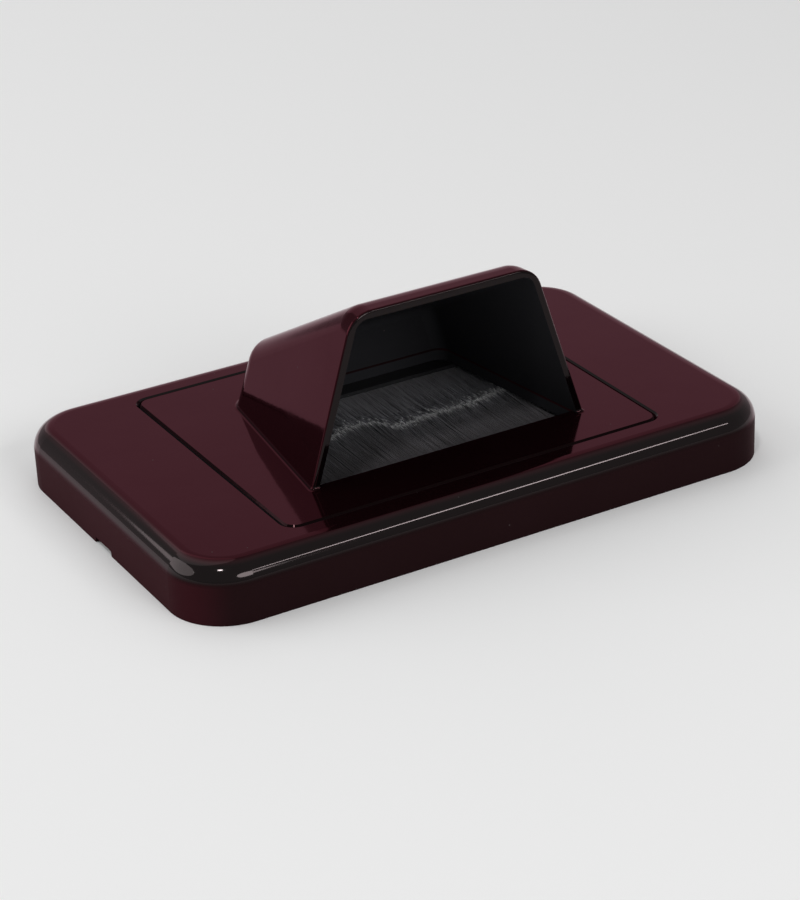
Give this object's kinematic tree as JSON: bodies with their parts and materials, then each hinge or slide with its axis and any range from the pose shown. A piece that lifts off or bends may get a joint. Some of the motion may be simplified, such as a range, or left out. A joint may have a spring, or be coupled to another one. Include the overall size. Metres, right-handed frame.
{
  "type": "brush wall plate",
  "caption": "Landscape wall plate with a bull-nose hood over a brush-filled cable opening; a clip-over surround hides the wall screws.",
  "frame": {"origin": "centre of the plate's back, on the wall plane", "axes": "+X along the plate, +Y across it towards the closed back of the hood, +Z out of the wall"},
  "size_m": [0.118, 0.075, 0.0415],
  "materials": {
    "body_plastic": "polished, very dark maroon black",
    "channel": "matt black",
    "wire": "drawn",
    "bristle": "black nylon filament",
    "clamp": "fine satin",
    "screw": "zinc plated"
  },
  "bodies": {
    "root": {"surround": "body_plastic", "hood_plate": "body_plastic", "front_brush_channel": "channel", "rear_brush_channel": "channel", "front_core_wire": "wire", "rear_core_wire": "wire", "front_bristles": "bristle", "rear_bristles": "bristle", "brush_clamp": "clamp", "clamp_screws": "screw"}
  },
  "joints": []
}
